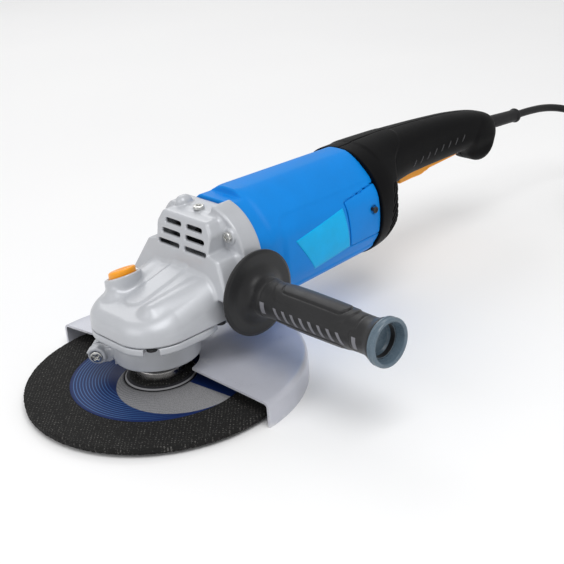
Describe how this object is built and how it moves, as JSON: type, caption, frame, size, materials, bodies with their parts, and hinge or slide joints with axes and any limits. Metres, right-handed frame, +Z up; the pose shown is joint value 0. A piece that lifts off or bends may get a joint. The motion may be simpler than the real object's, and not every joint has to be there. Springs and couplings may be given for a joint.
{
  "type": "angle grinder",
  "caption": "Large two-handed angle grinder with depressed-centre disc, sheet guard, side handle, rear handle with paddle trigger, and mains cord.",
  "frame": {"origin": "centre of the spindle's free end, in the plane of the guard's lower edge", "axes": "+Z up along the spindle towards the gear case, +X along the motor towards the rear handle, the side handle points to -Y"},
  "size_m": [0.7645, 0.3815, 0.1495],
  "materials": {
    "cast_alloy": "fine satin paint on a die casting",
    "zinc_steel": "bright zinc",
    "bearing_steel": "ground",
    "machined_steel": "turned and polished",
    "gear_steel": "hardened, oiled",
    "seal_rubber": "matt",
    "abrasive": "gritty, with a pressed mesh",
    "disc_print": "printed paper",
    "orange_plastic": "satin",
    "guard_paint": "satin powder coat on sheet steel",
    "fan_plastic": "moulded",
    "lamination_steel": "stacked sheet",
    "copper": "lacquered copper",
    "blue_plastic": "satin gloss, fine grain",
    "brass": "stamped",
    "carbon": "pressed carbon",
    "black_plastic": "spark-eroded grain",
    "white_plastic": "moulded",
    "capacitor_film": "potted",
    "grip_rubber": "soft matt rubber",
    "grey_plastic": "satin",
    "cord_rubber": "matt rubber",
    "plated_brass": "nickel plated"
  },
  "bodies": {
    "root": {"gear_case": "cast_alloy", "bearing_flange": "cast_alloy", "flange_screws": "zinc_steel", "case_screws": "zinc_steel", "spindle_bearing_outer": "bearing_steel", "spindle_needle_bearing": "bearing_steel", "spindle_seal": "seal_rubber", "front_bearing_outer": "bearing_steel", "rear_bearing_outer": "bearing_steel", "air_baffle": "fan_plastic", "stator_core": "lamination_steel", "field_coils": "copper", "motor_housing": "blue_plastic", "brush_holders": "brass", "carbon_brushes": "carbon", "brush_covers": "blue_plastic", "cover_screws": "zinc_steel", "handle_shell_left": "black_plastic", "handle_shell_right": "black_plastic", "handle_screws": "zinc_steel", "switch_body": "fan_plastic", "capacitor": "capacitor_film", "trigger_pin": "bearing_steel", "cord_clamp": "fan_plastic", "side_handle_stud": "machined_steel", "side_handle_core": "grey_plastic", "side_handle_grip": "grip_rubber", "side_handle_ring": "grey_plastic", "strain_relief": "cord_rubber", "cord": "cord_rubber", "cord_coil": "cord_rubber", "plug_body": "cord_rubber", "plug_pins": "plated_brass"},
    "spindle": {"spindle": "machined_steel", "spindle_bearing_inner": "bearing_steel", "crown_gear": "gear_steel", "disc_flange": "machined_steel", "grinding_disc": "abrasive", "disc_label": "disc_print", "lock_nut": "gear_steel"},
    "armature": {"front_bearing_inner": "bearing_steel", "armature_shaft": "machined_steel", "pinion": "gear_steel", "cooling_fan": "fan_plastic", "armature_core": "lamination_steel", "armature_windings": "copper", "commutator": "copper", "rear_bearing_inner": "bearing_steel"},
    "guard": {"guard": "guard_paint", "guard_clamp_band": "guard_paint", "clamp_screw": "zinc_steel"},
    "lock_button": {"lock_button": "orange_plastic", "lock_pin": "bearing_steel"},
    "trigger": {"trigger": "orange_plastic"},
    "switch_plunger": {"switch_plunger": "white_plastic"}
  },
  "joints": [
    {"name": "spindle_spin", "type": "hinge", "parent": "root", "child": "spindle", "pos_m": [0, 0, 0], "axis": [0, 0, 1], "continuous": true},
    {"name": "armature_spin", "type": "hinge", "parent": "root", "child": "armature", "pos_m": [0, 0, 0.082], "axis": [1, 0, 0], "continuous": true},
    {"name": "guard_turn", "type": "hinge", "parent": "root", "child": "guard", "pos_m": [0, 0, 0], "axis": [0, 0, 1], "range_deg": [-75, 90]},
    {"name": "lock_press", "type": "slide", "parent": "root", "child": "lock_button", "axis": [0, 0, -1], "range_m": [0, 0.005], "stiffness_N_per_m": 600, "springref_m": -0.004},
    {"name": "trigger_pull", "type": "hinge", "parent": "root", "child": "trigger", "pos_m": [0.386, 0, 0.098], "axis": [0, 1, 0], "range_deg": [0, 5.5], "stiffness_Nm_per_rad": 4, "springref_deg": -8.59},
    {"name": "switch_push", "type": "slide", "parent": "root", "child": "switch_plunger", "axis": [0, 0, 1], "range_m": [0, 0.0045]}
  ],
  "couplings": [
    {"joint": "armature_spin", "follows": "spindle_spin", "ratio": 4},
    {"joint": "switch_push", "follows": "trigger_pull", "m_per_rad": 0.044}
  ]
}
